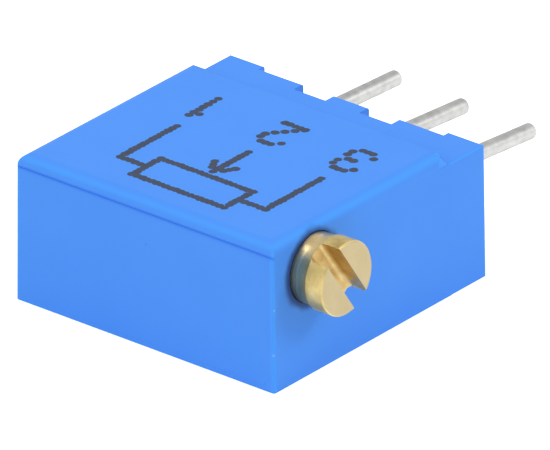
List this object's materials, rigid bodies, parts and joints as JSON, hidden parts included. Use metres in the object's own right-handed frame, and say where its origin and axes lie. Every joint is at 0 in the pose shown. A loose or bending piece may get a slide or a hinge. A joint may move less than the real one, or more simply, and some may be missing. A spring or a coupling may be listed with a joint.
{
  "type": "multi-turn trimmer potentiometer",
  "caption": "Square sealed trimmer potentiometer in a blue moulded body, with a slotted brass adjustment screw at the side and round wire pins in a row.",
  "frame": {"origin": "middle of the flat back face of the body, without screw head and pins", "axes": "+X along the row of pins towards the screw head, +Y along the pins away from the body, +Z out of the marked face"},
  "size_m": [0.0109, 0.0143, 0.0047],
  "materials": {
    "blue_moulding": "satin",
    "sealing_compound": "satin",
    "turned_brass": "satin",
    "rubber": "matte",
    "spring_steel": "satin",
    "ivory_moulding": "satin",
    "gold_plated_strip": "satin",
    "steel_pin": "satin",
    "alumina": "matte",
    "resistive_film": "matte",
    "silver_film": "satin",
    "tinned_wire": "satin",
    "solder": "satin"
  },
  "bodies": {
    "body": {"housing": "blue_moulding", "base": "blue_moulding", "potting": "sealing_compound", "retaining_fork": "spring_steel", "pivot_pin": "steel_pin", "ceramic_plate": "alumina", "resistive_track": "resistive_film", "collector_film": "silver_film", "end_film_1": "silver_film", "end_film_3": "silver_film", "terminal_1": "tinned_wire", "terminal_2": "tinned_wire", "terminal_3": "tinned_wire", "solder_1": "solder", "solder_2": "solder", "solder_3": "solder"},
    "screw": {"adjustment_screw": "turned_brass", "seal_ring": "rubber"},
    "rotor": {"rotor": "ivory_moulding", "wiper": "gold_plated_strip"}
  },
  "joints": [
    {"name": "screw_turn", "type": "hinge", "parent": "body", "child": "screw", "pos_m": [0, -0.003, 0.00335], "axis": [1, 0, 0], "range_deg": [-3960, 3960]},
    {"name": "rotor_turn", "type": "hinge", "parent": "body", "child": "rotor", "pos_m": [0, 0.00004, 0.00295], "axis": [0, 0, 1], "range_deg": [-132, 132]}
  ],
  "couplings": [
    {"joint": "rotor_turn", "follows": "screw_turn", "ratio": -0.033333}
  ]
}
